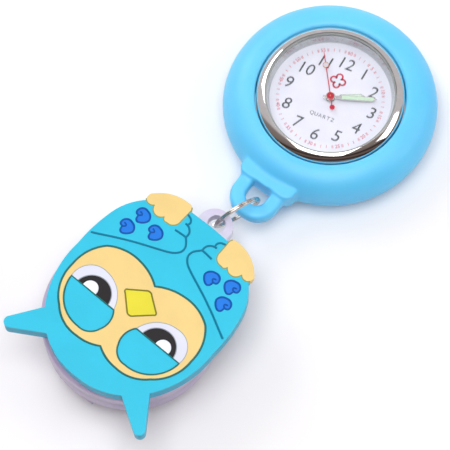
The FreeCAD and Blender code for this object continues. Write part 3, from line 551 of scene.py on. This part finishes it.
# ---- Silicone case -----------------------------------------------------------------------------
# One moulding of soft silicone: a fat ring that stretches over the capsule, and a loop
# on a cross ridge that the split ring goes through. Everything runs together in soft curves.
VOXEL = 0.3
SMOOTHINGS = 7
soft = copied("silicone_case")
bmesh.ops.triangulate(soft, faces=soft.faces)
bmesh.ops.scale(soft, vec=(MM, MM, MM), verts=soft.verts)
raw = bpy.data.meshes.new("soft_raw")
soft.to_mesh(raw)
soft.free()
holder = bpy.data.objects.new("soft_raw", raw)
bpy.context.scene.collection.objects.link(holder)
remesh = holder.modifiers.new("remesh", "REMESH")
remesh.mode = "VOXEL"
remesh.voxel_size = VOXEL * MM
bpy.context.view_layer.update()
evaluated = holder.evaluated_get(bpy.context.evaluated_depsgraph_get())
soft = bmesh.new()
soft.from_mesh(bpy.data.meshes.new_from_object(evaluated))
bpy.data.objects.remove(holder)
bmesh.ops.scale(soft, vec=(1 / MM, 1 / MM, 1 / MM), verts=soft.verts)
for _ in range(SMOOTHINGS):
    bmesh.ops.smooth_vert(soft, verts=soft.verts, factor=0.5, use_axis_x=True, use_axis_y=True,
                          use_axis_z=True)
silicone = Finish("silicone", {"Roughness": 0.42, "Subsurface Weight": 0.12, "Subsurface Scale": 0.003,
                               "Coat Weight": 0.08, "Coat Roughness": 0.35})
cloud = silicone.grain(60, 3)
silicone.feed("Base Color", silicone.ramp(cloud, ((0.3, (0.105, 0.58, 0.98)), (0.7, (0.14, 0.64, 1.0)))))
silicone.feed("Roughness", silicone.grain(900) * 0.14 + 0.36)
silicone.bump(silicone.grain(2400), 0.12, 0.00004)
finished(soft, "soft_case", "watch", silicone.material, ["silicone_case"], crease=180)

# ---- Watch capsule -----------------------------------------------------------------------------
# The capsule that the silicone holds: a plated case ring with its crown, a snap-on steel back and
# their gasket.
low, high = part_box("dial")
WATCH_X = (low.x + high.x) / 2 / MM
WATCH_Y = (low.y + high.y) / 2 / MM
DIAL_TURN = math.radians(-162.5)


def polished(name, pale, rough):
    """Polished plating with the finest of marks."""
    finish = Finish(name, {"Metallic": 1.0})
    marks = finish.grain(700, 5)
    finish.feed("Base Color", finish.ramp(marks, ((0.3, tuple(0.93 * part for part in pale)), (0.7, pale))))
    finish.feed("Roughness", marks * 0.06 + rough)
    return finish.material


def spun(name, profile, body, material, stands_for, crease=30):
    """A round piece, turned about the watch's centre from a closed (radius, height) profile."""
    form = bmesh.new()
    verts = [form.verts.new((radius, 0, height)) for radius, height in profile]
    edges = [form.edges.new((verts[i], verts[(i + 1) % len(verts)])) for i in range(len(verts))]
    bmesh.ops.spin(form, geom=verts + edges, cent=(0, 0, 0), axis=(0, 0, 1), angle=math.tau, steps=144,
                   use_merge=True, use_duplicate=False)
    bmesh.ops.remove_doubles(form, verts=form.verts, dist=0.0005)
    bmesh.ops.recalc_face_normals(form, faces=form.faces)
    bmesh.ops.translate(form, vec=(WATCH_X, WATCH_Y, 0), verts=form.verts)
    return finished(form, name, body, material, stands_for, crease)


chrome = polished("polished_chrome", (0.86, 0.84, 0.82), 0.05)
kept("watch_case", chrome)
kept("crown", chrome)
steel_back = polished("steel_back", (0.66, 0.65, 0.64), 0.22)
kept("case_back", steel_back)
gasket_rubber = plain_finish("gasket_rubber", (0.34, 0.37, 0.36), (0.26, 0.29, 0.28), {"Roughness": 0.5},
                             300, 0.00003)
kept("case_gasket", gasket_rubber)

# ---- Movement ----------------------------------------------------------------------------------
# A quartz movement: brass plates and wheels, a magnet rotor in a soft-iron stator, a coil of
# enamelled copper wire, and a green board with the crystal and chip, fed by a button cell.
brass = drawn_steel("turned_brass", (0.83, 0.64, 0.30), (0.7, 0.5, 0.2), 0.22)
iron = drawn_steel("soft_iron", (0.55, 0.54, 0.52), (0.42, 0.41, 0.4), 0.28)
black_moulding = plain_finish("black_moulding", (0.03, 0.03, 0.03), (0.02, 0.02, 0.02), {"Roughness": 0.45},
                              400, 0.00003)
for node in ("main_plate", "train_bridge", "third_wheel", "fourth_wheel", "centre_wheel", "minute_wheel",
             "hour_wheel"):
    kept(node, brass)
for node in ("stator", "coil_core", "setting_lever", "stem"):
    kept(node, iron)
for node in ("battery", "quartz_crystal", "battery_clamp"):
    kept(node, steel_back)
for node in ("fifth_wheel", "rotor", "chip"):
    kept(node, black_moulding)
kept("movement_holder", white_moulding)
copper = Finish("enamelled_copper", {"Metallic": 1.0, "Roughness": 0.25})
turns = copper.node("ShaderNodeTexWave", {"bands_direction": "DIAGONAL"}, {
    "Vector": copper.place(), "Scale": 3000.0, "Distortion": 0.2})
copper.feed("Base Color", copper.ramp(turns, ((0.1, (0.35, 0.1, 0.03)), (0.9, (0.85, 0.36, 0.14)))))
copper.bump(turns, 0.5, 0.00003)
kept("coil", copper.material)
kept("circuit_board", plain_finish("green_board", (0.02, 0.22, 0.09), (0.01, 0.13, 0.05), {"Roughness": 0.35},
                                   500, 0.00003))

# ---- Dial --------------------------------------------------------------------------------------
# A white lacquered brass disc. The hour numbers are printed in grey, and the minute track, its
# numbers and a plain four-leaf device in red.
low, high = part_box("dial")
dial_top = high.z / MM
lacquer = Finish("dial_lacquer", {"Roughness": 0.35, "Coat Weight": 0.2, "Coat Roughness": 0.1})
cloud = lacquer.grain(260, 3)
lacquer.feed("Base Color", lacquer.ramp(cloud, ((0.3, (0.76, 0.78, 0.90)), (0.7, (0.80, 0.82, 0.92)))))
lacquer.bump(lacquer.grain(5000), 0.06, 0.00001)
kept("dial", lacquer.material)
PRINT_THICK = 0.03
PRINT_RISE = PRINT_THICK / 2 + 0.005


def printed(name, rough, colour):
    """Pad-printed ink, very slightly uneven."""
    finish = Finish(name, {"Roughness": rough})
    finish.feed("Base Color", finish.ramp(finish.grain(1800), (
        (0.3, tuple(0.85 * part for part in colour)), (0.7, colour))))
    return finish.material


def on_dial(place, turn=0.0):
    """From the dial's own frame, +Y to 12, to the object's."""
    return (Matrix.Translation((WATCH_X, WATCH_Y, dial_top)) @ Matrix.Rotation(DIAL_TURN, 4, "Z")
            @ Matrix.Translation((place[0], place[1], 0)) @ Matrix.Rotation(turn, 4, "Z"))


def lettering(form, words, size, place, turn, lean, bold):
    """Add flat raised print to a form."""
    text = bpy.data.curves.new("print", "FONT")
    text.body = words
    text.size = size
    text.shear = lean
    text.align_x = "CENTER"
    text.align_y = "CENTER"
    text.extrude = PRINT_THICK / 2
    text.offset = bold
    text.resolution_u = 4
    holder = bpy.data.objects.new("print", text)
    bpy.context.scene.collection.objects.link(holder)
    bpy.context.view_layer.update()
    mesh = bpy.data.meshes.new_from_object(holder)
    mesh.transform(on_dial(place, turn) @ Matrix.Translation((0, 0, PRINT_RISE)))
    form.from_mesh(mesh)
    bpy.data.objects.remove(holder)


def clock_place(hour, radius):
    angle = math.pi / 2 - math.tau * hour / 12
    return radius * math.cos(angle), radius * math.sin(angle)


def print_bar(form, long, wide, place, turn):
    """Add one printed stroke."""
    made = bmesh.ops.create_cube(form, size=1)["verts"]
    bmesh.ops.scale(form, vec=(wide, long, PRINT_THICK), verts=made)
    raised = on_dial(place, turn) @ Matrix.Translation((0, 0, PRINT_RISE))
    bmesh.ops.transform(form, matrix=raised, verts=made)


numbers = bmesh.new()
NUMBER_RADII = (8.45, 8.65, 8.8, 8.3, 8.4, 8.55, 8.5, 8.95, 9.15, 8.2, 8.0, 8.1)
for hour, radius in enumerate(NUMBER_RADII, start=1):
    lettering(numbers, str(hour), 3.6, clock_place(hour, radius), 0, 0.12, -0.006)
finished(numbers, "dial_numbers", "watch", printed("ink_grey", 0.4, (0.075, 0.085, 0.10)))
word = bmesh.new()
for number, letter in enumerate("QUARTZ"):
    lettering(word, letter, 1.15, ((number - 2.5) * 0.88, -4.35), 0, 0, 0)
finished(word, "dial_word", "watch", printed("ink_pale_grey", 0.4, (0.16, 0.17, 0.19)))
TRACK_RADIUS = 10.65
TICK_LONG = 0.62
TICK_WIDE = 0.09
BRACKET_AWAY = 0.42
track = bmesh.new()
for minute in range(1, 61):
    place = clock_place(minute / 5, TRACK_RADIUS)
    turn = -math.tau * minute / 60
    if minute % 5:
        print_bar(track, TICK_LONG, TICK_WIDE, place, turn)
        continue
    side = 0 if 3 < minute % 60 < 16 or minute % 60 > 44 or minute % 60 == 0 else math.pi
    lettering(track, str(minute), 1.05, place, turn + side, 0, 0)
    for step in (-BRACKET_AWAY, BRACKET_AWAY):
        print_bar(track, TICK_LONG, TICK_WIDE, clock_place(minute / 5 + step / 2.6, TRACK_RADIUS),
                  turn - step / 5)
finished(track, "dial_track", "watch", printed("ink_red", 0.4, (0.68, 0.10, 0.16)))
LEAF_CENTRE = (0, 4.1)
LOBE_AWAY = 0.92
LOBE_ROUND = 0.62
LOBE_STROKES = 11
LOBE_STEP = 25
STROKE = 0.34
leaf = bmesh.new()
for quarter in range(4):
    heading = math.pi / 2 * quarter
    for part in range(LOBE_STROKES):
        angle = math.radians(LOBE_STEP * (part - (LOBE_STROKES - 1) / 2))
        along = LOBE_AWAY + LOBE_ROUND * math.cos(angle)
        across = LOBE_ROUND * math.sin(angle)
        spot = (LEAF_CENTRE[0] + along * math.cos(heading) - across * math.sin(heading),
                LEAF_CENTRE[1] + along * math.sin(heading) + across * math.cos(heading))
        print_bar(leaf, STROKE, STROKE, spot, heading + angle)
finished(leaf, "dial_device", "watch", printed("ink_bright_red", 0.4, (0.74, 0.05, 0.10)))

# ---- Hands -------------------------------------------------------------------------------------
# Stamped hands: hour and minute hands are bright frames with pale green luminous fill, and the
# second hand is lacquered red, with a cream ring near its tip, a round weight and a bright collar.
HANDS = {"hour": 65.96, "minute": 71.5, "second": 330.0}
silver = polished("bright_hand", (0.88, 0.9, 0.88), 0.18)
lume = plain_finish("luminous_fill", (0.60, 0.80, 0.62), (0.53, 0.74, 0.55), {"Roughness": 0.6}, 900, 0.00003)
red = plain_finish("red_lacquer", (0.58, 0.02, 0.05), (0.48, 0.015, 0.04), {"Roughness": 0.3}, 300, 0.00002)


def pointed(form, outline, low, thick, turn):
    """A flat blade from an outline drawn pointing to 12."""
    verts = [form.verts.new((x, y, low)) for x, y in outline]
    face = form.faces.new(verts)
    raised = bmesh.ops.extrude_face_region(form, geom=[face])["geom"]
    moved = [part for part in raised if isinstance(part, bmesh.types.BMVert)]
    bmesh.ops.translate(form, vec=(0, 0, thick), verts=moved)
    whole = verts + moved
    bmesh.ops.transform(form, matrix=Matrix.Translation((WATCH_X, WATCH_Y, 0))
                        @ Matrix.Rotation(DIAL_TURN - math.radians(turn), 4, "Z"), verts=whole)
    return whole


def hub(form, radius, low, high, hole=0.0, place=(0.0, 0.0), turn=0.0):
    """A round boss on a hand, with or without a hole."""
    made = bmesh.ops.create_circle(form, cap_ends=hole == 0, radius=radius, segments=40)["verts"]
    if hole:
        inner = bmesh.ops.create_circle(form, cap_ends=False, radius=hole, segments=40)["verts"]
        edges = list({edge for vert in made + inner for edge in vert.link_edges})
        bmesh.ops.bridge_loops(form, edges=edges)
        made = made + inner
    faces = list({face for vert in made for face in vert.link_faces})
    raised = bmesh.ops.extrude_face_region(form, geom=faces)["geom"]
    moved = [part for part in raised if isinstance(part, bmesh.types.BMVert)]
    bmesh.ops.translate(form, vec=(0, 0, high - low), verts=moved)
    bmesh.ops.transform(form, matrix=Matrix.Translation((WATCH_X, WATCH_Y, low))
                        @ Matrix.Rotation(DIAL_TURN - math.radians(turn), 4, "Z")
                        @ Matrix.Translation((place[0], place[1], 0)), verts=made + moved)


for name, body, tip, wide, bore, hub_radius in (
        ("hour", "hours", 7.0, 0.6, 0.7, 1.0), ("minute", "minutes", 9.4, 0.53, 0.42, 0.8)):
    turn = HANDS[name]
    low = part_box(name + "_hand")[0].z / MM
    blade = bmesh.new()
    pointed(blade, [(-0.16, 0.6), (0.16, 0.6), (0.3, 1.7), (wide, 2.2), (wide * 0.92, tip - 0.8), (0, tip),
                    (-wide * 0.92, tip - 0.8), (-wide, 2.2), (-0.3, 1.7)], low, 0.14, turn)
    pointed(blade, [(-0.24, -1.5), (0.24, -1.5), (0.18, -0.5), (-0.18, -0.5)], low, 0.14, turn)
    hub(blade, hub_radius, low, low + 0.18, bore, turn=turn)
    bmesh.ops.recalc_face_normals(blade, faces=blade.faces)
    finished(blade, name + "_hand_frame", body, silver, [name + "_hand"])
    fill = bmesh.new()
    pointed(fill, [(-wide + 0.14, 2.35), (wide - 0.14, 2.35), (wide * 0.92 - 0.15, tip - 0.95),
                   (0, tip - 0.4), (-wide * 0.92 + 0.15, tip - 0.95)], low + 0.12, 0.06, turn)
    bmesh.ops.recalc_face_normals(fill, faces=fill.faces)
    finished(fill, name + "_hand_lume", body, lume)
needle = bmesh.new()
turn = HANDS["second"]
EYE_PLACE = (0, 6.9)
WEIGHT_PLACE = (0, -2.5)
second_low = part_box("second_hand")[0].z / MM
pointed(needle, [(-0.1, -2.2), (0.1, -2.2), (0.09, 6.35), (-0.09, 6.35)], second_low, 0.13, turn)
pointed(needle, [(-0.09, 7.45), (0.09, 7.45), (0.05, 9.9), (-0.05, 9.9)], second_low, 0.13, turn)
hub(needle, 0.62, second_low, second_low + 0.12, 0.52, EYE_PLACE, turn)
hub(needle, 0.52, second_low, second_low + 0.14, 0.0, WEIGHT_PLACE, turn)
hub(needle, 0.75, second_low - 0.02, second_low + 0.24, 0.0, (0, 0), turn)
bmesh.ops.recalc_face_normals(needle, faces=needle.faces)
finished(needle, "second_hand_red", "seconds", red, ["second_hand"])
eye = bmesh.new()
hub(eye, 0.54, second_low, second_low + 0.14, 0.34, EYE_PLACE, turn)
bmesh.ops.recalc_face_normals(eye, faces=eye.faces)
finished(eye, "second_hand_eye", "seconds", printed("ink_cream", 0.4, (0.80, 0.74, 0.66)))
collar = bmesh.new()
hub(collar, 0.95, second_low - 0.1, second_low - 0.03, 0.5, (0, 0), turn)
bmesh.ops.recalc_face_normals(collar, faces=collar.faces)
finished(collar, "second_hand_collar", "seconds", silver)

# ---- Rehaut, glass and bezel -------------------------------------------------------------------
# The bright sloping ring between dial and glass, a flat mineral glass in its grey gasket, and the
# polished bezel pressed on over them.
spun("inner_wall", [(12.3, 8.52), (13.12, 8.52), (13.12, 10.3), (12.92, 10.3)], "watch",
     polished("inner_wall_plating", (0.60, 0.63, 0.62), 0.16), ["rehaut"])
crystal = Finish("mineral_glass", {"Base Color": (0.97, 0.985, 0.98, 1), "Transmission Weight": 1.0,
                                   "IOR": 1.2, "Alpha": 0.1})
crystal.feed("Roughness", crystal.grain(300) * 0.02)
spun("glass_disc", [(0, 10.4), (12.84, 10.4), (12.84, 11.12), (12.68, 11.28), (0, 11.28)], "watch",
     crystal.material, ["glass"])
kept("glass_gasket", gasket_rubber)
BEZEL_SIDE = [(13.3, 8.46), (14.98, 8.46), (14.98, 10.1), (14.92, 10.3), (14.8, 10.47)]
BEZEL_SLOPE = [(14.5, 10.77), (14.2, 11.0), (13.9, 11.19), (13.6, 11.34), (13.36, 11.43)]
BEZEL_INSIDE = [(13.26, 11.46), (13.21, 11.4), (13.21, 10.36), (13.3, 10.3)]
spun("bezel_ring", BEZEL_SIDE + BEZEL_SLOPE + BEZEL_INSIDE, "watch", chrome, ["bezel"], crease=35)
